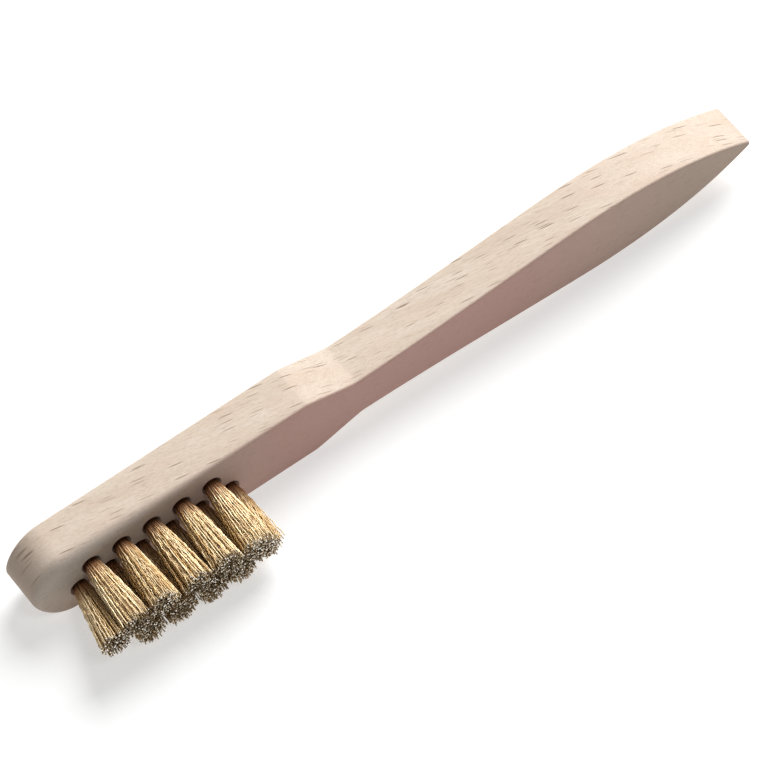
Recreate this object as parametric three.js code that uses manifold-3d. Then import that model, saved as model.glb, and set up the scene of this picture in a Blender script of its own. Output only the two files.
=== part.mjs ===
// A small scratch brush: a contoured beech handle with tufts of brass wire set in its head.
//
// The handle is a flat board of even thickness, sawn to a shaped outline and rounded at its edges.
// Eleven blind holes are drilled in the head, in two staggered rows. Each hole holds one tuft,
// a bundle of crimped brass wire folded in half over a flat steel anchor that is driven across
// the bottom of the hole.
//
// Millimetres, +Z up. The brush lies on one long edge: X runs from the head to the tail,
// the tufts point along -Y, and the origin is on the ground under the middle of the brush.

import * as THREE from 'three';
import { mergeVertices } from 'three/addons/utils/BufferGeometryUtils.js';
import Module from 'manifold-3d';

// ---------------------------------------------------------------- driving dimensions

// handle
const LENGTH = 150;
const WIDTH = 14; // across the head, and across the belly
const THICKNESS = 9.5;
const EDGE_RADIUS = 0.45;
const HEAD_CORNER = 7.6; // how far the rounding of the head end reaches along the side
const HEAD_END_HANDLE = 2.6; // lengths of its curve's tangents, at the middle of the end and at the side
const HEAD_SIDE_HANDLE = 4.2;
const SHOULDER = 56.6; // where the straight head ends, from the head end
const WAIST = 67;
const WAIST_WIDTH = 8.9;
const BELLY = 118;
const SHOULDER_SOFTNESS = 1.2;
const WAIST_HANDLE = 15.8; // lengths of the curves' tangents at the waist, the belly and the tail
const BELLY_HANDLE = 7.9;
const TAPER_HANDLE = 5.5;
const TAIL_HANDLE = 12.9;
const TAIL_RADIUS = 0.7;
const TAIL_SLOPE = 0.49; // narrowing of each side just before the tip, mm per mm

// steps along each curve of the outline
const CORNER_STEPS = 8;
const SHOULDER_STEPS = 6;
const FLANK_STEPS = 10;
const TAPER_STEPS = 10;
const NOSE_STEPS = 4;

// tufts
const TUFT_LENGTH = 15; // out of the face
const PITCH = 6.15;
const ROW_OFFSET = 2.05; // of each row from the middle of the head
const FIELD_CENTRE = 24.05; // middle of both rows, from the head end
const HOLE_RADIUS = 1.95;
const HOLE_DEPTH = 6;
const DRILL_POINT = 1.1; // depth of the cone that the drill leaves
const FIT = 0.15; // clearance around everything in a hole
const TUFT_TIP_RADIUS = 2.35; // each tuft spreads from its hole to this
const STRANDS = 6; // twisted together out of many wires, around one more in the middle
const STRAND_RADIUS = 0.45;
const STRAND_OVERLAP = 1; // how far a strand reaches into the folded root
const STRAND_SIDES = 6;
const STRAND_GAP = 0.1; // between the strands and the rim of the root
const FOLD_DEPTH = 5; // how deep the folded wires reach
const FOLD_TAPER = 1; // over this last depth, the fold narrows to this share of its radius
const FOLD_NARROWING = 0.6;
const ROUND = 16; // facets around a hole or a tuft

// The tips of a row lean by these amounts: along X at its first and last tuft, and along Z.
const ROWS = [
  { name: 'upper', z: ROW_OFFSET, count: 5, firstLean: -1.1, lastLean: 0.7, spread: 0.45 },
  { name: 'lower', z: -ROW_OFFSET, count: 6, firstLean: -1.5, lastLean: -1.2, spread: -0.45 },
];

// anchors
const ANCHOR_LENGTH = 4.4; // a little more than the hole is wide, so it bites the wood
const ANCHOR_HEIGHT = 1.6;
const ANCHOR_THICKNESS = 0.4;
const ANCHOR_DEPTH = 3.5; // of its middle, below the face

// places in the part's own frame
const HEAD_END_X = -LENGTH / 2;
const MIDDLE_Z = WIDTH / 2;
const FACE_Y = (TUFT_LENGTH - THICKNESS) / 2; // the face that the tufts stand on
const BACK_Y = FACE_Y + THICKNESS;

// ---------------------------------------------------------------- joining and cutting

const wasm = await Module();
wasm.setup();

function toSolid(geometry) {
  const bare = geometry.clone();
  bare.deleteAttribute('normal');
  bare.deleteAttribute('uv');
  const merged = mergeVertices(bare);
  const vertProperties = new Float32Array(merged.attributes.position.array);
  const triVerts = new Uint32Array(merged.index.array);
  return new wasm.Manifold(new wasm.Mesh({ numProp: 3, vertProperties, triVerts }));
}

function toGeometry(solid) {
  const { vertProperties, triVerts } = solid.getMesh();
  const geometry = new THREE.BufferGeometry();
  geometry.setAttribute('position', new THREE.BufferAttribute(vertProperties, 3));
  geometry.setIndex(new THREE.BufferAttribute(triVerts, 1));
  geometry.computeVertexNormals();
  return geometry;
}

// ---------------------------------------------------------------- the handle

function bezier(points) {
  return new THREE.CubicBezierCurve(...points.map(([x, y]) => new THREE.Vector2(x, y)));
}

// One side of the outline, from the middle of the head end to the tip of the tail.
function sidePoints() {
  const half = WIDTH / 2;
  const waist = WAIST_WIDTH / 2;
  const noseAngle = Math.PI / 2 - Math.atan(TAIL_SLOPE);
  const noseCentre = LENGTH - TAIL_RADIUS;
  const taperEnd = noseCentre + TAIL_RADIUS * Math.cos(noseAngle);
  const taperHalf = TAIL_RADIUS * Math.sin(noseAngle);

  const corner = bezier([
    [0, 0],
    [0, HEAD_END_HANDLE],
    [HEAD_CORNER - HEAD_SIDE_HANDLE, half],
    [HEAD_CORNER, half],
  ]);
  const shoulder = bezier([
    [SHOULDER, half],
    [SHOULDER + SHOULDER_SOFTNESS, half],
    [WAIST - SHOULDER_SOFTNESS, waist],
    [WAIST, waist],
  ]);
  const flank = bezier([
    [WAIST, waist],
    [WAIST + WAIST_HANDLE, waist],
    [BELLY - BELLY_HANDLE, half],
    [BELLY, half],
  ]);
  const taper = bezier([
    [BELLY, half],
    [BELLY + TAPER_HANDLE, half],
    [taperEnd - TAIL_HANDLE, taperHalf + TAIL_HANDLE * TAIL_SLOPE],
    [taperEnd, taperHalf],
  ]);
  const nose = new THREE.EllipseCurve(
    noseCentre, 0, TAIL_RADIUS, TAIL_RADIUS, noseAngle, 0, true,
  );
  return [
    ...corner.getPoints(CORNER_STEPS),
    ...shoulder.getPoints(SHOULDER_STEPS),
    ...flank.getPoints(FLANK_STEPS).slice(1),
    ...taper.getPoints(TAPER_STEPS).slice(1),
    ...nose.getPoints(NOSE_STEPS).slice(1),
  ];
}

function handleBoard() {
  const side = sidePoints();
  const otherSide = side.slice(1, -1).reverse().map((p) => new THREE.Vector2(p.x, -p.y));
  const board = new THREE.ExtrudeGeometry(new THREE.Shape([...side, ...otherSide]), {
    depth: THICKNESS - 2 * EDGE_RADIUS,
    bevelEnabled: true,
    bevelThickness: EDGE_RADIUS,
    bevelSize: EDGE_RADIUS,
    bevelOffset: -EDGE_RADIUS,
    bevelSegments: 2,
  });
  board.rotateX(Math.PI / 2);
  board.translate(HEAD_END_X, BACK_Y - EDGE_RADIUS, MIDDLE_Z);
  return board;
}

// A tool in the shape of a drilled hole, with its mouth at the origin and its point along +Y.
function drillTool() {
  const clearOfFace = 1; // so that the cut breaks through the face cleanly
  return new THREE.LatheGeometry(
    [
      new THREE.Vector2(0, -clearOfFace),
      new THREE.Vector2(HOLE_RADIUS, -clearOfFace),
      new THREE.Vector2(HOLE_RADIUS, HOLE_DEPTH - DRILL_POINT),
      new THREE.Vector2(0, HOLE_DEPTH),
    ],
    ROUND,
  );
}

// The anchor's own box, grown by a clearance on every side.
function anchorBox(clearance) {
  const box = new THREE.BoxGeometry(
    ANCHOR_LENGTH + 2 * clearance,
    ANCHOR_HEIGHT + 2 * clearance,
    ANCHOR_THICKNESS + 2 * clearance,
  );
  box.translate(0, ANCHOR_DEPTH, 0);
  return box;
}

function handleGeometry(places) {
  const tools = places.flatMap(({ x, z }) =>
    [drillTool(), anchorBox(FIT)].map((tool) => tool.translate(x, FACE_Y, z)),
  );
  return toGeometry(tools.reduce((solid, tool) => solid.subtract(toSolid(tool)), toSolid(handleBoard())));
}

// ---------------------------------------------------------------- one tuft and its anchor

// The folded root, which fills the hole. Its mouth is at the origin and +Y is into the wood.
function rootGeometry() {
  const radius = HOLE_RADIUS - FIT;
  return new THREE.LatheGeometry(
    [
      new THREE.Vector2(0, 0),
      new THREE.Vector2(radius, 0),
      new THREE.Vector2(radius, FOLD_DEPTH - FOLD_TAPER),
      new THREE.Vector2(radius * FOLD_NARROWING, FOLD_DEPTH),
      new THREE.Vector2(0, FOLD_DEPTH),
    ],
    ROUND,
  );
}

// A strand from the root to the tips. It is sheared and not turned, so that its end stays level.
function strandGeometry(root, tip) {
  const height = TUFT_LENGTH + STRAND_OVERLAP;
  const rod = new THREE.CylinderGeometry(STRAND_RADIUS, STRAND_RADIUS, height, STRAND_SIDES);
  rod.translate(0, -height / 2, 0);
  const slant = new THREE.Vector3((root.x - tip.x) / height, 1, (root.y - tip.y) / height);
  const acrossX = new THREE.Vector3(1, 0, 0);
  const acrossZ = new THREE.Vector3(0, 0, 1);
  rod.applyMatrix4(new THREE.Matrix4().makeBasis(acrossX, slant, acrossZ));
  rod.translate(root.x, STRAND_OVERLAP, root.y);
  return rod;
}

function tuftGeometry(lean) {
  const rootRing = HOLE_RADIUS - FIT - STRAND_RADIUS - STRAND_GAP;
  const tipRing = TUFT_TIP_RADIUS - STRAND_RADIUS;
  const strands = [strandGeometry(new THREE.Vector2(), lean)];
  for (let i = 0; i < STRANDS; i += 1) {
    const angle = (2 * Math.PI * i) / STRANDS;
    const direction = new THREE.Vector2(Math.cos(angle), Math.sin(angle));
    const root = direction.clone().multiplyScalar(rootRing);
    const tip = direction.clone().multiplyScalar(tipRing).add(lean);
    strands.push(strandGeometry(root, tip));
  }
  const cutRoot = toSolid(rootGeometry()).subtract(toSolid(anchorBox(FIT)));
  return toGeometry(strands.reduce((solid, strand) => solid.add(toSolid(strand)), cutRoot));
}

// ---------------------------------------------------------------- the brush

// Where each tuft stands, and how its tips lean.
function tuftPlaces() {
  return ROWS.flatMap(({ name, z, count, firstLean, lastLean, spread }) =>
    Array.from({ length: count }, (_, i) => ({
      name: `${name}_${i + 1}`,
      x: HEAD_END_X + FIELD_CENTRE + PITCH * (i - (count - 1) / 2),
      z: MIDDLE_Z + z,
      lean: new THREE.Vector2(THREE.MathUtils.lerp(firstLean, lastLean, i / (count - 1)), spread),
    })),
  );
}

function addPiece(group, name, geometry, finish, place = { x: 0, y: 0, z: 0 }) {
  const mesh = new THREE.Mesh(geometry, new THREE.MeshStandardMaterial(finish));
  mesh.name = name;
  mesh.position.set(place.x, place.y, place.z);
  group.add(mesh);
}

const BEECH = { color: '#e2d2be', roughness: 0.75, metalness: 0 };
const BRASS_WIRE = { color: '#c9a25f', roughness: 0.4, metalness: 1 };
const STEEL = { color: '#9a9a98', roughness: 0.45, metalness: 1 };

const brush = new THREE.Group();
const places = tuftPlaces();
addPiece(brush, 'handle', handleGeometry(places), BEECH);
places.forEach(({ name, x, z, lean }) => {
  const root = { x, y: FACE_Y, z };
  addPiece(brush, `tuft_${name}`, tuftGeometry(lean), BRASS_WIRE, root);
  addPiece(brush, `anchor_${name}`, anchorBox(0), STEEL, root);
});

export default brush;
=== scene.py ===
# %% [markdown]
# # A small scratch brush, finished in Blender
#
# The brush is a beech handle with eleven tufts of crimped brass wire. Its drawing comes packed as a
# fixed frame of plain solids, which hold every size and place. This notebook makes the two things
# that the eye judges: the sanded wood, and more than two thousand single wires.

import math

import bmesh
import bpy
import numpy as np
from mathutils import Matrix, Vector, noise


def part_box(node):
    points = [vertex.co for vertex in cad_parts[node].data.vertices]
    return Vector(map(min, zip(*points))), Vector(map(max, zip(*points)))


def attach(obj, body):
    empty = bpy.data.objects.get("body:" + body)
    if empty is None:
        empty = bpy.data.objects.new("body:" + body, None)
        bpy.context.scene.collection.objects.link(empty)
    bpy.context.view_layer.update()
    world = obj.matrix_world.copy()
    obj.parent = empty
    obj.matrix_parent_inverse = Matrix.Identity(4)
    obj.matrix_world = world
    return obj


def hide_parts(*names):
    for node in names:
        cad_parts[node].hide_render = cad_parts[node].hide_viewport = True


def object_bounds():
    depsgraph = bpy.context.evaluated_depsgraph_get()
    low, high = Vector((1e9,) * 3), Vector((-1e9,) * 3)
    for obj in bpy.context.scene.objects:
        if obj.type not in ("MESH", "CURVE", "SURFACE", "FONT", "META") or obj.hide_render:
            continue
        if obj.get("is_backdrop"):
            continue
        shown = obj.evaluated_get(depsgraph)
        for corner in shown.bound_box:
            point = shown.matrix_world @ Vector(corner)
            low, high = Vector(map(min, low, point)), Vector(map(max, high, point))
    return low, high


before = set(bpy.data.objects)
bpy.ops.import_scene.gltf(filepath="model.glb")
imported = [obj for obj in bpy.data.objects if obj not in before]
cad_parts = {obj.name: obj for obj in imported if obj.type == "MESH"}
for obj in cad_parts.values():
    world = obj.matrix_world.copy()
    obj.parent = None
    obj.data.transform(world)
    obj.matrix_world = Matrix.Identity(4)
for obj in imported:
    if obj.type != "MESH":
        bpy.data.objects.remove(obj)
drawn_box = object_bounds()
MM = 0.001

handle_low, handle_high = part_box("handle")
tuft_names = sorted(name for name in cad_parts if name.startswith("tuft_"))
print("handle, mm:", [round(v / MM, 2) for v in handle_high - handle_low])
print("tufts:", len(tuft_names))

# %% [markdown]
# ## Looking at it
#
# The brush lies on one long edge, and is seen from above its head. A long lens looks at it from a
# metre away, so the far end of this small thing is hardly smaller than its near end. The view is
# turned a little, which a camera does by rolling about its own line of sight.

# %% The camera
VIEW_AZIMUTH = math.radians(-24.5)
VIEW_ELEVATION = math.radians(56.13)
VIEW_ROLL = math.radians(-12.33)
VIEW_DISTANCE = 1.0
VIEW_CENTRE = Vector((-1.92, 7.5, 1.02)) * MM
LENS = 276.1
SENSOR = 36
CLIP_START = 0.01


def add_camera():
    backwards = Vector((
        math.sin(VIEW_AZIMUTH) * math.cos(VIEW_ELEVATION),
        -math.cos(VIEW_AZIMUTH) * math.cos(VIEW_ELEVATION),
        math.sin(VIEW_ELEVATION),
    ))
    right = Vector((math.cos(VIEW_AZIMUTH), math.sin(VIEW_AZIMUTH), 0))
    turn = Matrix((right, backwards.cross(right), backwards)).transposed()
    camera = bpy.data.objects.new("camera", bpy.data.cameras.new("camera"))
    camera.data.lens = LENS
    camera.data.sensor_width = SENSOR
    camera.data.clip_start = CLIP_START
    roll = Matrix.Rotation(VIEW_ROLL, 3, "Z")
    stand = Matrix.Translation(VIEW_CENTRE + backwards * VIEW_DISTANCE)
    camera.matrix_world = stand @ (turn @ roll).to_4x4()
    bpy.context.scene.collection.objects.link(camera)
    bpy.context.scene.camera = camera
    return camera


camera = add_camera()
print("camera at", [round(v, 3) for v in camera.matrix_world.translation])

# %% [markdown]
# ## Building with nodes
#
# Materials and repeated shapes are both made of nodes. One helper adds a node, sets its
# properties and fills its sockets, either with a plain value or with a link from another node.
# Colours are written as the familiar hex values and turned into the linear light that the
# renderer counts in.


# %% The helpers
def add_node(tree, kind, sockets=None, **settings):
    """Adds a node. A socket takes a value, an output, or another node's first enabled output."""
    node = tree.nodes.new(kind)
    for name, value in settings.items():
        setattr(node, name, value)
    for key, value in (sockets or {}).items():
        if isinstance(value, bpy.types.Node):
            value = next(output for output in value.outputs if output.enabled)
        if isinstance(value, bpy.types.NodeSocket):
            tree.links.new(value, node.inputs[key])
        else:
            node.inputs[key].default_value = value
    return node


def linear(hex_colour):
    """A hex colour with the sRGB curve undone."""
    parts = [int(hex_colour[i : i + 2], 16) / 255 for i in (1, 3, 5)]
    light = [p / 12.92 if p <= 0.04045 else ((p + 0.055) / 1.055) ** 2.4 for p in parts]
    return (*light, 1.0)


def layered(tree, base, layers):
    """Lays colours over one another. A layer is the value that it follows, where it starts, where
    it is full, its strength, and its colour."""
    colour = linear(base)
    for source, start, full, strength, shade in layers:
        sockets = {"Value": source, "From Min": start, "From Max": full, "To Max": strength}
        amount = add_node(tree, "ShaderNodeMapRange", sockets)
        # A mix node has sockets for every type: 6 and 7 are its two colours, and 2 is their mix.
        sockets = {"Factor": amount, 6: colour, 7: linear(shade)}
        colour = add_node(tree, "ShaderNodeMix", sockets, data_type="RGBA").outputs[2]
    return colour


def new_material(name):
    material = bpy.data.materials.new(name)
    material.use_nodes = True
    material.node_tree.nodes.clear()
    return material, material.node_tree


def link_object(name, mesh):
    piece = bpy.data.objects.new(name, mesh)
    bpy.context.scene.collection.objects.link(piece)
    return piece


def plain_mesh(piece):
    """The piece as its modifiers leave it, as a mesh of its own."""
    graph = bpy.context.evaluated_depsgraph_get()
    return bpy.data.meshes.new_from_object(
        piece.evaluated_get(graph), preserve_all_data_layers=True, depsgraph=graph
    )


# %% [markdown]
# ## The handle's outline
#
# The handle is sawn from a board, so one outline makes it. It could be bent out of a subdivided
# box, but the real one is cut to a template, and a template is a few stretches that meet smoothly:
# a rounded head end, a straight head, a sloping shoulder, a long flank, a taper and a blunt tip.
# Each curved stretch is one cubic curve and the tip is a small arc, so the outline is as fine as
# its number of points makes it. Both edges of the handle follow the same template.

# %% The template
LENGTH = handle_high.x - handle_low.x
THICKNESS = handle_high.y - handle_low.y
HALF_WIDTH = (handle_high.z - handle_low.z) / 2
# Places are measured from the head end. A _HANDLE is how far a curve is pulled along its tangent.
HEAD_CORNER = 7.6 * MM
HEAD_END_HANDLE, HEAD_SIDE_HANDLE = 2.6 * MM, 4.2 * MM
SHOULDER = 56.6 * MM
SHOULDER_SOFTNESS = 1.2 * MM
WAIST = 67 * MM
WAIST_HALF = 4.45 * MM
BELLY = 118 * MM
WAIST_HANDLE, BELLY_HANDLE = 15.8 * MM, 7.9 * MM
TAPER_HANDLE, TAIL_HANDLE = 5.5 * MM, 12.9 * MM
TAIL_RADIUS = 0.7 * MM
TAIL_SLOPE = 0.49
# How many points each stretch of the outline gets.
STEPS = {"corner": 24, "head": 39, "shoulder": 18, "flank": 50, "taper": 36, "nose": 8}


def curve(points, steps):
    """A cubic curve through its first and last point, drawn towards the two between them."""
    a, b, c, d = (np.array(p) for p in points)
    t = np.linspace(0, 1, steps + 1)[1:, None]
    return (1 - t) ** 3 * a + 3 * (1 - t) ** 2 * t * b + 3 * (1 - t) * t**2 * c + t**3 * d


def template():
    """One side of the outline, from the middle of the head end to the tip: (along, half width)."""
    wide = HALF_WIDTH
    nose = math.pi / 2 - math.atan(TAIL_SLOPE)
    nose_centre = LENGTH - TAIL_RADIUS
    taper_end = np.array((nose_centre + TAIL_RADIUS * math.cos(nose), TAIL_RADIUS * math.sin(nose)))
    head_end = (0, 0)
    corner = (HEAD_CORNER, wide)
    corner_pulls = (0, HEAD_END_HANDLE), (HEAD_CORNER - HEAD_SIDE_HANDLE, wide)
    shoulder = (SHOULDER, wide)
    waist = (WAIST, WAIST_HALF)
    shoulder_pulls = (SHOULDER + SHOULDER_SOFTNESS, wide), (WAIST - SHOULDER_SOFTNESS, WAIST_HALF)
    belly = (BELLY, wide)
    tail_pull = taper_end + np.array((-1, TAIL_SLOPE)) * TAIL_HANDLE
    flank_pulls = (WAIST + WAIST_HANDLE, WAIST_HALF), (BELLY - BELLY_HANDLE, wide)
    turn = np.linspace(nose, 0, STEPS["nose"] + 1)[1:]
    return np.concatenate([
        [head_end],
        curve([head_end, *corner_pulls, corner], STEPS["corner"]),
        np.linspace(corner, shoulder, STEPS["head"] + 1)[1:],
        curve([shoulder, *shoulder_pulls, waist], STEPS["shoulder"]),
        curve([waist, *flank_pulls, belly], STEPS["flank"]),
        curve([belly, (BELLY + TAPER_HANDLE, wide), tail_pull, taper_end], STEPS["taper"]),
        np.stack([nose_centre + TAIL_RADIUS * np.cos(turn), TAIL_RADIUS * np.sin(turn)], axis=1),
    ])


side = template()
outline = np.concatenate([side, side[-2:0:-1] * (1, -1)])
print("template:", len(outline), "points, widest", round(side[:, 1].max() * 2 / MM, 2), "mm")


# %% [markdown]
# ## The handle as a solid
#
# The board's walls stand square to the template, and their edges are rounded: tightly along the
# handle, and far more beside the upper row of holes, towards the head end. So the wall is built
# as a stack of rings, each drawn in from the template by what the rounding took away. A Bevel
# modifier would give one even radius everywhere, and this edge isn't that even. One more ring
# just inside each face keeps the flat faces flat under smooth shading.

# %% The sanded board
EDGE_RADIUS = 0.45 * MM
HEAD_EDGE_EXTRA = 2.0 * MM
HEAD_EDGE_REACH = 30 * MM
EDGE_STEPS = 6
WALL_STEPS = 6
FACE_MARGIN = 1.1  # the ring inside each face, in edge radii from the template
HAND_WAVER = 0.04 * MM  # how far the sanded walls stray inside the template
WAVER_LENGTH = 9 * MM
WAVER_FADE_HEAD = 12 * MM  # the waver dies out over these lengths, at the two ends
WAVER_FADE_TAIL = 25 * MM
SIDES_APART = 4  # keeps the waver of one side unlike that of the other

ANGLES = np.linspace(0, math.pi / 2, EDGE_STEPS + 1)
EDGE_PROFILE = [(FACE_MARGIN, 0.0)] + [(1 - math.sin(a), 1 - math.cos(a)) for a in ANGLES]


def inward_normals(points):
    ahead = np.roll(points, -1, axis=0) - np.roll(points, 1, axis=0)
    ahead /= np.linalg.norm(ahead, axis=1)[:, None]
    return np.stack([ahead[:, 1], -ahead[:, 0]], axis=1)


def wavered(points, inward):
    """The template after sanding by hand: the long walls stray a little, and the two ends don't."""
    along = points[:, 0]
    fade_head = np.clip(along / WAVER_FADE_HEAD, 0, 1)
    fade_tail = np.clip((LENGTH - along) / WAVER_FADE_TAIL, 0, 1)
    spots = [Vector((x, SIDES_APART * z, 0)) / WAVER_LENGTH for x, z in points]
    stray = np.clip([0.5 + 0.5 * noise.noise(spot) for spot in spots], 0, 1)
    return points + inward * (HAND_WAVER * fade_head * fade_tail * stray)[:, None]


def board_rings(near_radius):
    """For each ring, at every point: its inset, its depth from the bristle face."""
    near = [(near_radius * inset, near_radius * depth) for inset, depth in EDGE_PROFILE]
    wall_height = THICKNESS - near_radius - EDGE_RADIUS
    shares = np.linspace(0, 1, WALL_STEPS + 1)[1:-1]
    wall = [(0 * near_radius, near_radius + wall_height * share) for share in shares]
    far_radius = np.full_like(near_radius, EDGE_RADIUS)
    far = [(far_radius * inset, THICKNESS - far_radius * depth) for inset, depth in EDGE_PROFILE]
    return near + wall + far[::-1]


def board_mesh():
    inward = inward_normals(outline)
    sanded = wavered(outline, inward)
    near_head_end = np.exp(-((outline[:, 0] / HEAD_EDGE_REACH) ** 2))
    upper = 0.5 + 0.5 * outline[:, 1] / HALF_WIDTH
    radius = EDGE_RADIUS + HEAD_EDGE_EXTRA * near_head_end * upper
    origin = Vector((handle_low.x, handle_low.y, handle_low.z + HALF_WIDTH))
    bm = bmesh.new()
    rings = []
    for inset, depth in board_rings(radius):
        places = zip(sanded + inward * inset[:, None], depth)
        rings.append([bm.verts.new(origin + Vector((x, y, z))) for (x, z), y in places])
    for near, far in zip(rings, rings[1:]):
        for i, first in enumerate(near):
            j = (i + 1) % len(near)
            bm.faces.new((first, near[j], far[j], far[i])).smooth = True
    bm.faces.new(rings[0])
    bm.faces.new(rings[-1])
    bmesh.ops.recalc_face_normals(bm, faces=bm.faces)
    mesh = bpy.data.meshes.new("beech_handle")
    bm.to_mesh(mesh)
    bm.free()
    return mesh


handle = link_object("beech_handle", board_mesh())
print("sanded board:", len(handle.data.polygons), "faces")

# %% [markdown]
# ## Drilling the head
#
# Each tuft stands in a blind hole, with the cone that a drill's point leaves. The drawing has a
# steel anchor in the middle of every hole, so the anchors say where to drill. All the drills are
# one mesh, and a single exact Boolean cuts them all: it costs more than a fast one, and it leaves
# clean rims.

# %% The holes
DRILL_RADIUS = 1.95 * MM
DRILL_DEPTH = 6 * MM
DRILL_POINT = 1.1 * MM
DRILL_SIDES = 32
DRILL_CLEARANCE = 1 * MM  # how far a drill stands out of the face while it cuts


def hole_mouth(tuft_name):
    """The middle of a tuft's hole, on the bristle face."""
    low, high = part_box(tuft_name.replace("tuft", "anchor"))
    middle = (low + high) / 2
    return Vector((middle.x, handle_low.y, middle.z))


def add_drill(bm, mouth):
    turns = [2 * math.pi * i / DRILL_SIDES for i in range(DRILL_SIDES)]
    circle = [Vector((DRILL_RADIUS * math.cos(t), 0, DRILL_RADIUS * math.sin(t))) for t in turns]
    top, bottom = (
        [bm.verts.new(mouth + spot + Vector((0, depth, 0))) for spot in circle]
        for depth in (-DRILL_CLEARANCE, DRILL_DEPTH)
    )
    point = bm.verts.new(mouth + Vector((0, DRILL_DEPTH + DRILL_POINT, 0)))
    bm.faces.new(top)
    for i in range(DRILL_SIDES):
        j = (i + 1) % DRILL_SIDES
        bm.faces.new((top[i], top[j], bottom[j], bottom[i])).smooth = True
        bm.faces.new((bottom[i], bottom[j], point)).smooth = True


def drill_holes(board, mouths):
    bm = bmesh.new()
    for mouth in mouths:
        add_drill(bm, mouth)
    bmesh.ops.recalc_face_normals(bm, faces=bm.faces)
    drills = link_object("drills", bpy.data.meshes.new("drills"))
    bm.to_mesh(drills.data)
    bm.free()
    cut = board.modifiers.new("holes", "BOOLEAN")
    cut.operation = "DIFFERENCE"
    cut.solver = "EXACT"
    cut.object = drills
    board.data = plain_mesh(board)
    board.modifiers.clear()
    bpy.data.objects.remove(drills)


drill_holes(handle, [hole_mouth(name) for name in tuft_names])
print("drilled handle:", len(handle.data.polygons), "faces")

# %% [markdown]
# ## A tuft of crimped wire
#
# About a hundred wires are folded over each anchor, so some two hundred ends stand out of each
# hole. Each wire is crimped into a fine wave, which keeps it apart from its neighbours. The
# bundle is tight in the hole and spreads towards the tips, which are trimmed to one plane.
#
# Hair strands could draw this, but they vanish from an exported model. Here one Geometry Nodes
# tree makes a real mesh: points laid out as sunflower seeds are, a straight wire planted on each,
# and then every wire bent by fields that read how far along it a point is. The tuft is built
# about the middle of its hole's mouth, with the wires going down -Y, and is moved to its hole at
# the end. The tree leaves three attributes for the material: how far along the wire a point is,
# which shade the wire has, and which faces are its cut end.

# %% The tuft tree
GOLDEN_ANGLE = math.pi * (3 - math.sqrt(5))
WIRE_SIDES = 5
WIRE_STEPS = 14
BURR = 1.3  # how wide a worn end is at its very tip, against the wire
SPREAD_EARLY = 0.65  # powers of the way along a wire: below 1 the bend comes near the root
SPREAD_LATE = 1.7  # and above 1 it comes near the tip
STRAY_RARITY = 3.0  # the higher it is, the fewer wires stray far
CRIMP_ONSET = 5.0  # the crimp is full after a fifth of the way, and dies out in the hole
END_FACING = -0.7  # a face that looks further down than this is a cut end

TUFT_INPUTS = {
    "Wires": "Int",
    "Wire Radius": "Float",
    "Root Radius": "Float",
    "Flare": "Float",
    "Buried": "Float",
    "Free Length": "Float",
    "Lean": "Vector",
    "Crimp Height": "Float",
    "Crimp Length": "Float",
    "Jostle": "Float",
    "Stray": "Float",
    "Clumping": "Float",
    "Clump Size": "Float",
    "Trim": "Float",
    "Burr Length": "Float",
    "Hole": "Vector",
    "Material": "Material",
    "Seed": "Int",
}


def tuft_tree():
    tree = bpy.data.node_groups.new("tuft_of_wire", "GeometryNodeTree")
    for label, kind in TUFT_INPUTS.items():
        tree.interface.new_socket(name=label, in_out="INPUT", socket_type="NodeSocket" + kind)
    tree.interface.new_socket(name="Geometry", in_out="OUTPUT", socket_type="NodeSocketGeometry")
    size = add_node(tree, "NodeGroupInput").outputs
    wires, out, draws = plant_wires(tree, size)
    wires = bend_wires(tree, size, wires, out, draws)
    finish_wires(tree, size, wires)
    return tree


# %% Planting the wires
DRAWS = {
    "jostle": 1.0,
    "jostle_turn": math.tau,
    "stray": 1.0,
    "stray_turn": math.tau,
    "crimp_start": math.tau,
    "crimp_turn": math.tau,
    "trim": 1.0,
    "tone": 1.0,
}


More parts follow.
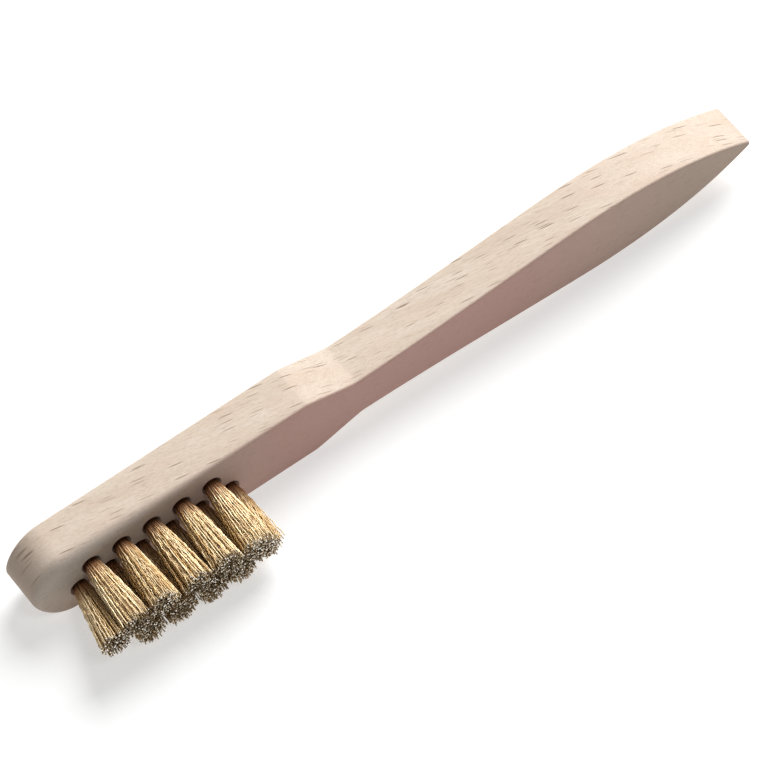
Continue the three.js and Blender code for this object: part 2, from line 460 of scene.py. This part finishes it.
def plant_wires(tree, size):
    """Straight wires on sunflower seeds, with what the later steps ask of each point and wire."""
    index = add_node(tree, "GeometryNodeInputIndex")
    turn = add_node(tree, "ShaderNodeMath", {0: index, 1: GOLDEN_ANGLE}, operation="MULTIPLY")
    middle = add_node(tree, "ShaderNodeMath", {0: index, 1: 0.5}, operation="ADD")
    share = add_node(tree, "ShaderNodeMath", {0: middle, 1: size["Wires"]}, operation="DIVIDE")
    root = add_node(tree, "ShaderNodeMath", {0: share}, operation="SQRT")
    sockets = {0: root, 1: size["Root Radius"]}
    reach = add_node(tree, "ShaderNodeMath", sockets, operation="MULTIPLY")
    arm = add_node(tree, "ShaderNodeCombineXYZ", {"X": reach})
    sockets = {"Vector": arm, "Angle": turn}
    spot = add_node(tree, "ShaderNodeVectorRotate", sockets, rotation_type="Y_AXIS")
    roots = add_node(tree, "GeometryNodePoints", {"Count": size["Wires"], "Position": spot})

    down = add_node(tree, "ShaderNodeMath", {0: size["Free Length"], 1: -1.0}, operation="MULTIPLY")
    start = add_node(tree, "ShaderNodeCombineXYZ", {"Y": size["Buried"]})
    end = add_node(tree, "ShaderNodeCombineXYZ", {"Y": down})
    line = add_node(tree, "GeometryNodeCurvePrimitiveLine", {"Start": start, "End": end})
    strand = add_node(tree, "GeometryNodeResampleCurve", {"Curve": line, "Count": WIRE_STEPS + 1})
    planted = add_node(tree, "GeometryNodeInstanceOnPoints", {"Points": roots, "Instance": strand})
    wires = add_node(tree, "GeometryNodeRealizeInstances", {"Geometry": planted})

    place = add_node(tree, "GeometryNodeInputPosition")
    height = add_node(tree, "ShaderNodeSeparateXYZ", {0: place}).outputs["Y"]
    out = add_node(tree, "ShaderNodeMath", {0: height, 1: down}, operation="DIVIDE", use_clamp=True)
    which = add_node(tree, "GeometryNodeCurveOfPoint").outputs["Curve Index"]
    draws = {}
    for number, (name, high) in enumerate(DRAWS.items()):
        seed = add_node(tree, "ShaderNodeMath", {0: size["Seed"], 1: number}, operation="ADD")
        sockets = {2: 0.0, 3: high, "ID": which, "Seed": seed}
        draws[name] = add_node(tree, "FunctionNodeRandomValue", sockets, data_type="FLOAT")
    kept = {"data_type": "FLOAT", "domain": "POINT"}
    for name, value in {"along": out, "tone": draws["tone"]}.items():
        sockets = {"Geometry": wires, "Name": name, "Value": value}
        wires = add_node(tree, "GeometryNodeStoreNamedAttribute", sockets, **kept)
    return wires, out, draws


# %% Bending the wires
def bend_wires(tree, size, wires, out, draws):
    """Each bend is a direction and the factors that scale it. Their sum moves a point."""
    place = add_node(tree, "GeometryNodeInputPosition")
    flat = add_node(tree, "ShaderNodeVectorMath", {0: place, 1: (1, 0, 1)}, operation="MULTIPLY")
    height = add_node(tree, "ShaderNodeSeparateXYZ", {0: place}).outputs["Y"]
    aside = {}
    for name in ("jostle_turn", "stray_turn", "crimp_turn"):
        sockets = {"Vector": (1, 0, 0), "Angle": draws[name]}
        aside[name] = add_node(tree, "ShaderNodeVectorRotate", sockets, rotation_type="Y_AXIS")

    early = add_node(tree, "ShaderNodeMath", {0: out, 1: SPREAD_EARLY}, operation="POWER")
    late = add_node(tree, "ShaderNodeMath", {0: out, 1: SPREAD_LATE}, operation="POWER")
    few = add_node(tree, "ShaderNodeMath", {0: draws["stray"], 1: STRAY_RARITY}, operation="POWER")
    sockets = {0: out, 1: CRIMP_ONSET}
    free = add_node(tree, "ShaderNodeMath", sockets, operation="MULTIPLY", use_clamp=True)

    sockets = {0: height, 1: size["Crimp Length"]}
    waves = add_node(tree, "ShaderNodeMath", sockets, operation="DIVIDE")
    sockets = {0: waves, 1: math.tau, 2: draws["crimp_start"]}
    phase = add_node(tree, "ShaderNodeMath", sockets, operation="MULTIPLY_ADD")
    wave = add_node(tree, "ShaderNodeMath", {0: phase}, operation="SINE")

    # Neighbouring wires read nearly the same noise, so they drift together, as clumps.
    sockets = {0: flat, 1: size["Clump Size"]}
    cells = add_node(tree, "ShaderNodeVectorMath", sockets, operation="DIVIDE")
    sockets = {"Vector": cells, "W": size["Seed"], "Scale": 1.0, "Detail": 1.0}
    drift = add_node(tree, "ShaderNodeTexNoise", sockets, noise_dimensions="4D").outputs["Color"]
    for by, operation in (((0.5, 0.5, 0.5), "SUBTRACT"), ((2, 0, 2), "MULTIPLY")):
        drift = add_node(tree, "ShaderNodeVectorMath", {0: drift, 1: by}, operation=operation)

    bends = [
        (aside["jostle_turn"], [draws["jostle"], size["Jostle"]]),
        (flat, [size["Flare"], early]),
        (size["Lean"], [out]),
        (drift, [size["Clumping"], early]),
        (aside["stray_turn"], [size["Stray"], few, late]),
        (aside["crimp_turn"], [size["Crimp Height"], wave, free]),
        ((0, 1, 0), [size["Trim"], draws["trim"], out]),
    ]
    offset = (0, 0, 0)
    for bend, factors in bends:
        for factor in factors:
            sockets = {0: bend, "Scale": factor}
            bend = add_node(tree, "ShaderNodeVectorMath", sockets, operation="SCALE")
        offset = add_node(tree, "ShaderNodeVectorMath", {0: offset, 1: bend}, operation="ADD")
    return add_node(tree, "GeometryNodeSetPosition", {"Geometry": wires, "Offset": offset})


# %% Giving the wires their thickness
def finish_wires(tree, size, wires):
    """Round wires with flat burrs on their cut ends, each drawn out a little and widened."""
    sockets = {"Resolution": WIRE_SIDES, "Radius": size["Wire Radius"]}
    section = add_node(tree, "GeometryNodeCurvePrimitiveCircle", sockets)
    sockets = {"Curve": wires, "Profile Curve": section, "Fill Caps": True}
    solid = add_node(tree, "GeometryNodeCurveToMesh", sockets)
    # Only a wire's two end faces look along it, and only the cut one looks away from the head.
    facing = add_node(tree, "GeometryNodeInputNormal")
    down = add_node(tree, "ShaderNodeSeparateXYZ", {0: facing}).outputs["Y"]
    tip = add_node(tree, "FunctionNodeCompare", {0: down, 1: END_FACING}, operation="LESS_THAN")
    sockets = {
        "Mesh": solid,
        "Selection": tip,
        "Offset Scale": size["Burr Length"],
        "Individual": True,
    }
    drawn = add_node(tree, "GeometryNodeExtrudeMesh", sockets, mode="FACES")
    sockets = {"Geometry": drawn, "Selection": drawn.outputs["Top"], "Scale": BURR}
    burred = add_node(tree, "GeometryNodeScaleElements", sockets)
    sockets = {0: drawn.outputs["Top"], 1: drawn.outputs["Side"]}
    ends = add_node(tree, "FunctionNodeBooleanMath", sockets, operation="OR")
    sockets = {"Geometry": burred, "Name": "cut", "Value": ends}
    kept = {"data_type": "FLOAT", "domain": "FACE"}
    marked = add_node(tree, "GeometryNodeStoreNamedAttribute", sockets, **kept)
    sockets = {0: drawn.outputs["Top"]}
    round_part = add_node(tree, "FunctionNodeBooleanMath", sockets, operation="NOT")
    sockets = {"Geometry": marked, "Shade Smooth": round_part}
    smooth = add_node(tree, "GeometryNodeSetShadeSmooth", sockets)
    sockets = {"Geometry": smooth, "Translation": size["Hole"]}
    placed = add_node(tree, "GeometryNodeTransform", sockets)
    real = add_node(tree, "GeometryNodeRealizeInstances", {"Geometry": placed})
    sockets = {"Geometry": real, "Material": size["Material"]}
    finished = add_node(tree, "GeometryNodeSetMaterial", sockets)
    add_node(tree, "NodeGroupOutput", {"Geometry": finished})


wire_tree = tuft_tree()
print("tuft tree:", len(wire_tree.nodes), "nodes")

# %% [markdown]
# ## Beech
#
# The handle is steamed beech, sanded and left bare, so it is dull, pale and faintly pink. What
# tells beech from most other pale woods is its rays, thin sheets that run from the heart of the
# tree outwards. Where the narrow sides of the board cut them they show as short dark dashes, a few
# millimetres long and a quarter of a millimetre wide, all lying along the grain. The broad faces
# show them as small faint flakes.
#
# A flat pattern of wood would slide over the rounded edges. The material is built in the solid
# instead, in millimetres of the object, so that the pattern runs through the wood as it does in a
# real board. The grain isn't quite parallel to the handle, because no board is sawn perfectly along
# its tree.

# %% Beech, planed, sanded and left bare
BEECH_PALE = "#DFD0C0"
BEECH_FIBRE = "#CBB7A3"
BEECH_PINK = "#D6BCA9"
BEECH_SHADE_PINK = "#BC958B"  # painted shade and painted pink bounce light on the bristle face
BEECH_SHADE_GREY = "#A89788"  # painted shade on the bristle face, greyer towards both ends
BEECH_RAY = "#8C7460"
BEECH_END = "#B6A08D"  # end grain drinks light, so it looks darker
BEECH_EDGE_LIGHT = "#D2CABD"  # painted light: the bristle face paler beside the upper tufts
GRAIN_SLANT = math.radians(11)
MARK_EDGE = 0.3  # where a mark starts and where it is full, in cells from the middle of its cell
MARK_CORE = 0.18
MARK_NONE = 0.3  # a cell that draws less than this has no mark, and one above the next a full one
MARK_FULL = 0.9
# The size of one cell of each pattern, in mm: along the handle, through its thickness and up its
# width. A ray or a flake fills a little over half of its cell's length and width.
RAY_SPACE = (5.8, 0.42, 25.0)
FLAKE_SPACE = (3.2, 25.0, 0.4)
FIBRE_SPACE = (9.0, 0.3, 0.3)
PORE_SPACE = (1.4, 0.09, 0.09)
BAND_SPACE = (70.0, 3.2, 3.2)
CLOUD_SPACE = (7.0, 4.0, 4.0)
BEECH_RELIEF = 0.05 * MM


def beech_material():
    material, tree = new_material("beech_sanded_bare")
    place = add_node(tree, "ShaderNodeTexCoord").outputs["Object"]
    board = add_node(
        tree,
        "ShaderNodeMapping",
        {"Vector": place, "Scale": (1 / MM,) * 3, "Rotation": (0, GRAIN_SLANT / 2, GRAIN_SLANT)},
    )

    def in_grain(space, kind, **sockets):
        """A pattern in the wood whose cells have that size."""
        scale = [1 / size for size in space]
        stretched = add_node(tree, "ShaderNodeMapping", {"Vector": board, "Scale": scale})
        return add_node(tree, kind, {"Vector": stretched, "Scale": 1.0, **sockets})

    bands = in_grain(BAND_SPACE, "ShaderNodeTexNoise", Detail=2.0)
    fibres = in_grain(FIBRE_SPACE, "ShaderNodeTexNoise", Detail=4.0, Roughness=0.6)
    pores = in_grain(PORE_SPACE, "ShaderNodeTexNoise", Detail=2.0)
    cloud = in_grain(CLOUD_SPACE, "ShaderNodeTexNoise", Detail=2.0)

    # Each mark is a thin spindle about the middle of its cell, and only some cells have one.
    marks = []
    for space in (RAY_SPACE, FLAKE_SPACE):
        cells = in_grain(space, "ShaderNodeTexVoronoi", Randomness=1.0)
        distance = cells.outputs["Distance"]
        sockets = {"Value": distance, "From Min": MARK_EDGE, "From Max": MARK_CORE}
        spindle = add_node(tree, "ShaderNodeMapRange", sockets)
        lot = add_node(tree, "ShaderNodeSeparateColor", {0: cells.outputs["Color"]})
        sockets = {"Value": lot, "From Min": MARK_NONE, "From Max": MARK_FULL}
        picked = add_node(tree, "ShaderNodeMapRange", sockets)
        sockets = {0: spindle, 1: picked}
        marks.append(add_node(tree, "ShaderNodeMath", sockets, operation="MULTIPLY"))

    # Painted shade on the bristle face, pink about the middle and greyer at both ends.
    normal = add_node(tree, "ShaderNodeNewGeometry").outputs["Normal"]
    facing = add_node(tree, "ShaderNodeSeparateXYZ", {0: normal})
    spot = add_node(tree, "ShaderNodeSeparateXYZ", {0: place})
    sockets = {0: facing.outputs["Y"], 1: -1.0}
    bristle_side = add_node(tree, "ShaderNodeMath", sockets, operation="MULTIPLY", use_clamp=True)
    from_middle, broad, crosscut = (
        add_node(tree, "ShaderNodeMath", {0: value}, operation="ABSOLUTE")
        for value in (spot.outputs["X"], facing.outputs["Y"], facing.outputs["X"])
    )

    # Each ramp reads a value, and goes from one share to another between two places or two slopes.
    head_end = handle_low.x
    ramps = {
        "pink about the middle": (from_middle, 25 * MM, 75 * MM, 1.0, 0.55),
        "grey towards the ends": (from_middle, 20 * MM, 62 * MM, 0.0, 1.0),
        "towards the head": (spot.outputs["X"], head_end + 50 * MM, head_end + 12 * MM, 0.0, 1.0),
        "towards the top": (spot.outputs["Z"], 1 * MM, 11 * MM, 0.0, 1.0),
        "on the narrow sides": (broad, 0.8, 0.4, 0.0, 1.0),
        "across the fibres": (crosscut, 0.35, 0.95, 0.0, 1.0),
    }
    ramp = {}
    for name, (source, start, end, first, last) in ramps.items():
        sockets = {"Value": source, "From Min": start, "From Max": end}
        sockets |= {"To Min": first, "To Max": last}
        ramp[name] = add_node(tree, "ShaderNodeMapRange", sockets)

    # The narrow sides show the rays as dashes, and the broad faces show them as flakes.
    products = {
        # The bristle face: painted shade, painted pink bounce light and painted light by the tufts.
        "pink_shade": (bristle_side, ramp["pink about the middle"]),
        "grey_shade": (bristle_side, ramp["grey towards the ends"]),
        "edge_light": (bristle_side, ramp["towards the head"], ramp["towards the top"]),
        "ray": (marks[0], ramp["on the narrow sides"]),
        "flake": (marks[1], broad),
    }
    mask = {}
    for name, (value, *factors) in products.items():
        for factor in factors:
            value = add_node(tree, "ShaderNodeMath", {0: value, 1: factor}, operation="MULTIPLY")
        mask[name] = value

    layers = [
        (bands, 0.35, 0.65, 0.4, BEECH_FIBRE),
        (cloud, 0.4, 0.7, 0.4, BEECH_PINK),
        (fibres, 0.42, 0.68, 0.6, BEECH_FIBRE),
        # Bristle face: painted shade and pink bounce light; end grain; painted shade; painted
        # light.
        (mask["pink_shade"], 0.0, 1.0, 1.0, BEECH_SHADE_PINK),
        (ramp["across the fibres"], 0.0, 1.0, 0.6, BEECH_END),
        (mask["grey_shade"], 0.0, 1.0, 0.75, BEECH_SHADE_GREY),
        (mask["edge_light"], 0.0, 1.0, 0.7, BEECH_EDGE_LIGHT),
        (pores, 0.52, 0.72, 0.38, BEECH_RAY),
        (mask["flake"], 0.0, 1.0, 0.4, BEECH_RAY),
        (mask["ray"], 0.0, 1.0, 0.85, BEECH_RAY),
    ]
    colour = layered(tree, BEECH_PALE, layers)

    # Sanding leaves the rays a touch sunk and the fibres just raised.
    sockets = {0: mask["ray"], 1: -1.0, 2: fibres}
    relief = add_node(tree, "ShaderNodeMath", sockets, operation="MULTIPLY_ADD")
    sockets = {"Height": relief, "Strength": 0.35, "Distance": BEECH_RELIEF}
    bump = add_node(tree, "ShaderNodeBump", sockets)
    sockets = {"Value": fibres, "From Min": 0.3, "From Max": 0.7, "To Min": 0.62, "To Max": 0.78}
    roughness = add_node(tree, "ShaderNodeMapRange", sockets)
    shader = add_node(
        tree,
        "ShaderNodeBsdfPrincipled",
        {"Base Color": colour, "Roughness": roughness, "Normal": bump, "Specular IOR Level": 0.35},
    )
    add_node(tree, "ShaderNodeOutputMaterial", {"Surface": shader})
    return material


beech = beech_material()
handle.data.materials.clear()
handle.data.materials.append(beech)
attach(handle, "root")
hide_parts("handle")
print("beech:", len(beech.node_tree.nodes), "nodes")

# %% [markdown]
# ## Brass wire
#
# The wires are drawn brass. They are bright yellow where they rub, each a little different. Towards
# the root they are painted reddish, as a painted reflection of the wood and painted shade, and
# darkest in the hole, as painted shade. They are grey-brown at the tips, where some of the cut ends
# are burnished and the rest are dirty from use. Three attributes from the tuft's tree carry this:
# `along`, `tone` and `cut`.

# %% Brass, drawn and crimped
BRASS_DEEP = "#D0B07E"
BRASS_BRIGHT = "#FFEECA"
# painted reddish reflection of the wood and painted shade, towards the root
BRASS_ROOT_REFLECTION_SHADE = "#AC6842"
# painted shade in the hole and just outside it
BRASS_HOLE_SHADE = "#4A3020"
BRASS_TIP = "#CDBB99"
BRASS_TARNISH = "#B58C5C"
CUT_CLEAN = "#FFFAF0"
CUT_DIRTY = "#CBBFAB"
CUT_SOOTED = "#6A6054"
CLEAN_ROUGHNESS = 0.22
POLISHED_FROM = 0.68  # the tone above which a wire's cut end starts to be burnished, not dirty
POLISHED_FULL = 0.74
TARNISH_SIZE = 1.6 * MM


def brass_material():
    material, tree = new_material("brass_wire_drawn_crimped")
    along, tone, cut = (
        add_node(tree, "ShaderNodeAttribute", attribute_name=name).outputs["Fac"]
        for name in ("along", "tone", "cut")
    )
    place = add_node(tree, "ShaderNodeTexCoord").outputs["Object"]
    sockets = {"Vector": place, "Scale": 1 / TARNISH_SIZE, "Detail": 3.0}
    blotch = add_node(tree, "ShaderNodeTexNoise", sockets)
    sockets = {"Value": tone, "From Min": POLISHED_FROM, "From Max": POLISHED_FULL}
    polished = add_node(tree, "ShaderNodeMapRange", sockets)
    sockets = {0: cut, 1: polished}
    dirty_cut = add_node(tree, "ShaderNodeMath", sockets, operation="SUBTRACT", use_clamp=True)
    clean_cut = add_node(tree, "ShaderNodeMath", {0: cut, 1: polished}, operation="MULTIPLY")
    sooted_cut = add_node(tree, "ShaderNodeMath", {0: dirty_cut, 1: blotch}, operation="MULTIPLY")

    layers = [
        (tone, 0.0, 1.0, 1.0, BRASS_BRIGHT),
        (blotch, 0.5, 0.75, 0.5, BRASS_TARNISH),
        # Painted reflection of the wood and painted shade at the root.
        (along, 0.26, 0.0, 0.8, BRASS_ROOT_REFLECTION_SHADE),
        # Painted shade in the hole.
        (along, 0.07, 0.0, 0.6, BRASS_HOLE_SHADE),
        (along, 0.9, 1.0, 0.8, BRASS_TIP),
        (dirty_cut, 0.0, 1.0, 0.8, CUT_DIRTY),
        (sooted_cut, 0.46, 0.6, 0.8, CUT_SOOTED),
        (clean_cut, 0.0, 1.0, 1.0, CUT_CLEAN),
    ]
    colour = layered(tree, BRASS_DEEP, layers)
    sockets = {"Value": blotch, "From Min": 0.35, "From Max": 0.7, "To Min": 0.4, "To Max": 0.58}
    drawn_roughness = add_node(tree, "ShaderNodeMapRange", sockets)
    sockets = {0: clean_cut, 2: drawn_roughness, 3: CLEAN_ROUGHNESS}
    roughness = add_node(tree, "ShaderNodeMix", sockets, data_type="FLOAT")
    shader = add_node(
        tree,
        "ShaderNodeBsdfPrincipled",
        {"Base Color": colour, "Metallic": 1.0, "Roughness": roughness},
    )
    add_node(tree, "ShaderNodeOutputMaterial", {"Surface": shader})
    return material


brass = brass_material()
print("brass:", len(brass.node_tree.nodes), "nodes")

# %% [markdown]
# ## Filling the head
#
# One tree makes all eleven tufts. Each is a piece of its own, with its own seed, so no two are
# alike. They don't all stand square to the face: most lean towards the head end, and the two end
# tufts of the lower row lean up beside the upper row.

# %% The eleven tufts
ANCHOR_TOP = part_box("anchor_upper_1")[0].y - handle_low.y
FREE_LENGTH = handle_low.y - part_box("tuft_upper_1")[0].y
# How far the tips of each tuft lean from its hole, along the head and across it, in mm.
LEANS = {
    "upper": [(0.0, -0.4), (-0.6, 0.5), (0.0, -0.3), (-0.1, -0.2), (-0.3, -1.0)],
    "lower": [(-1.7, 2.3), (-1.2, -0.6), (-1.0, -0.7), (-0.8, -0.7), (-1.0, -0.3), (-1.8, 1.3)],
}
BURR_LENGTH = 0.06 * MM
SPARE = 0.03 * MM  # what is left of the drawn length beyond the longest burr
TUFT_SIZES = {
    "Wires": 200,
    "Wire Radius": 0.105 * MM,
    "Root Radius": 1.25 * MM,
    "Flare": 1.35,
    "Buried": ANCHOR_TOP,
    "Free Length": FREE_LENGTH - BURR_LENGTH - SPARE,
    "Crimp Height": 0.12 * MM,
    "Crimp Length": 2.9 * MM,
    "Jostle": 0.12 * MM,
    "Stray": 0.7 * MM,
    "Clumping": 0.4 * MM,
    "Clump Size": 1.1 * MM,
    "Trim": 0.75 * MM,
    "Burr Length": BURR_LENGTH,
    "Material": brass,
}


def tuft_lean(name):
    _, row, number = name.split("_")
    along, across = LEANS[row][int(number) - 1]
    return Vector((along, 0, across)) * MM


SEED_STEP = 100  # further apart than the number of draws for a tuft


def make_tuft(name, seed):
    piece = link_object(name.replace("tuft", "wires"), bpy.data.meshes.new("empty"))
    modifier = piece.modifiers.new("tuft", "NODES")
    modifier.node_group = wire_tree
    values = {**TUFT_SIZES, "Lean": tuft_lean(name), "Hole": hole_mouth(name), "Seed": seed}
    for item in wire_tree.interface.items_tree:
        if item.in_out == "INPUT":
            modifier[item.identifier] = values[item.name]
    piece.data = plain_mesh(piece)
    piece.modifiers.clear()
    piece.data.name = piece.name
    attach(piece, "root")
    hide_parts(name)
    return piece


tufts = [make_tuft(name, SEED_STEP * number) for number, name in enumerate(tuft_names)]
print("faces in a tuft:", len(tufts[0].data.polygons), "materials:", tufts[0].data.materials[:])

# %% [markdown]
# ## The anchors
#
# The anchors are flat bits of cold-rolled steel strip, and their drawing is already their real
# shape, so they only need a finish. They sit at the bottom of the holes, where the bundle hides
# them.

# %% Steel strip, cold-rolled
STEEL_BRIGHT = "#B9BBBD"
STEEL_DARK = "#85878A"
ROLLED_LINES = (2.0, 0.1, 0.1)  # mm: along the strip and across it
STEEL_RELIEF = 0.01 * MM


def steel_material():
    material, tree = new_material("steel_strip_cold_rolled")
    place = add_node(tree, "ShaderNodeTexCoord").outputs["Object"]
    # Rolling leaves fine lines along the strip, about a tenth of a millimetre apart.
    scale = [1 / (size * MM) for size in ROLLED_LINES]
    rolled = add_node(tree, "ShaderNodeMapping", {"Vector": place, "Scale": scale})
    lines = add_node(tree, "ShaderNodeTexNoise", {"Vector": rolled, "Scale": 1.0, "Detail": 3.0})
    sockets = {"Factor": lines, 6: linear(STEEL_DARK), 7: linear(STEEL_BRIGHT)}
    colour = add_node(tree, "ShaderNodeMix", sockets, data_type="RGBA").outputs[2]
    sockets = {"Value": lines, "To Min": 0.25, "To Max": 0.45}
    roughness = add_node(tree, "ShaderNodeMapRange", sockets)
    sockets = {"Height": lines, "Strength": 0.2, "Distance": STEEL_RELIEF}
    bump = add_node(tree, "ShaderNodeBump", sockets)
    shader = add_node(
        tree,
        "ShaderNodeBsdfPrincipled",
        {"Base Color": colour, "Metallic": 1.0, "Roughness": roughness, "Normal": bump},
    )
    add_node(tree, "ShaderNodeOutputMaterial", {"Surface": shader})
    return material


steel = steel_material()
anchors = [node for name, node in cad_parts.items() if name.startswith("anchor_")]
for anchor in anchors:
    anchor.data.materials.clear()
    anchor.data.materials.append(steel)
print("anchors finished:", len(anchors))

# %% [markdown]
# ## The studio
#
# The brush lies on a light table, a pale matt sheet with lamps under it, which keeps its shadow
# faint. One large soft light stands above and behind it, towards the tail. That leaves the
# bristle face and the head end in shade, where only the table and the room light them, and it
# draws a line of light down every wire. A weak soft lamp above and in front reaches between the
# tufts. The colours are shown as they are, with no film look.

# %% Floor, light and room
FLOOR_COLOUR = "#C4C4C4"
FLOOR_GLOW = 0.5
FLOOR_REACH = 3.0
FLOOR_DROP = 0.02 * MM  # how far under the brush the floor lies, so that the two don't coincide
PAPER_TOOTH = 600.0  # grains in a metre
LIGHT_DISTANCE = 1.3
# For each light: where it stands, its width in metres and its power in watts.
LIGHTS = {
    "key": (Vector((0.62, 0.38, 0.69)), 0.9, 23.5),
    "fill": (Vector((0.1, -0.5, 0.86)), 0.35, 2.7),
}
ROOM_STRENGTH = 0.17


def floor_material():
    material, tree = new_material("floor_matt_paper")
    place = add_node(tree, "ShaderNodeTexCoord").outputs["Object"]
    sockets = {"Vector": place, "Scale": PAPER_TOOTH, "Detail": 2.0}
    tooth = add_node(tree, "ShaderNodeTexNoise", sockets)
    sockets = {"Value": tooth, "To Min": 0.85, "To Max": 0.95}
    roughness = add_node(tree, "ShaderNodeMapRange", sockets)
    shader = add_node(
        tree,
        "ShaderNodeBsdfPrincipled",
        {
            "Base Color": linear(FLOOR_COLOUR),
            "Roughness": roughness,
            "Specular IOR Level": 0.1,
            "Emission Color": (1, 1, 1, 1),
            "Emission Strength": FLOOR_GLOW,
        },
    )
    add_node(tree, "ShaderNodeOutputMaterial", {"Surface": shader})
    return material


def add_floor():
    bm = bmesh.new()
    bmesh.ops.create_grid(bm, x_segments=1, y_segments=1, size=FLOOR_REACH)
    mesh = bpy.data.meshes.new("floor")
    bm.to_mesh(mesh)
    bm.free()
    floor = link_object("floor", mesh)
    floor.data.materials.append(floor_material())
    floor.location.z = -FLOOR_DROP
    floor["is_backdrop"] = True


def add_light(name, direction, width, power):
    light = bpy.data.lights.new(name, "AREA")
    light.shape = "DISK"
    light.size = width
    light.energy = power
    lamp = bpy.data.objects.new(name, light)
    lamp.location = VIEW_CENTRE + direction.normalized() * LIGHT_DISTANCE
    lamp.rotation_euler = direction.to_track_quat("Z", "Y").to_euler()
    bpy.context.scene.collection.objects.link(lamp)


def add_room():
    room = bpy.data.worlds.new("room")
    room.use_nodes = True
    room.node_tree.nodes["Background"].inputs["Strength"].default_value = ROOM_STRENGTH
    room.node_tree.nodes["Background"].inputs["Color"].default_value = (1, 1, 1, 1)
    bpy.context.scene.world = room


add_floor()
for name, (direction, width, power) in LIGHTS.items():
    add_light(name, direction, width, power)
add_room()
bpy.context.scene.view_settings.view_transform = "Standard"
print("lights:", list(LIGHTS))

# %% [markdown]
# ## The finished size
#
# The last cell measures the finished brush against its drawing.

# %% Size and finish
finished_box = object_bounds()
boxes = {"drawn": drawn_box, "finished": finished_box}
sizes = {name: [list(corner) for corner in box] for name, box in boxes.items()}
for name, (low, high) in sizes.items():
    print(name, "mm:", [round(v / MM, 2) for v in low], [round(v / MM, 2) for v in high])
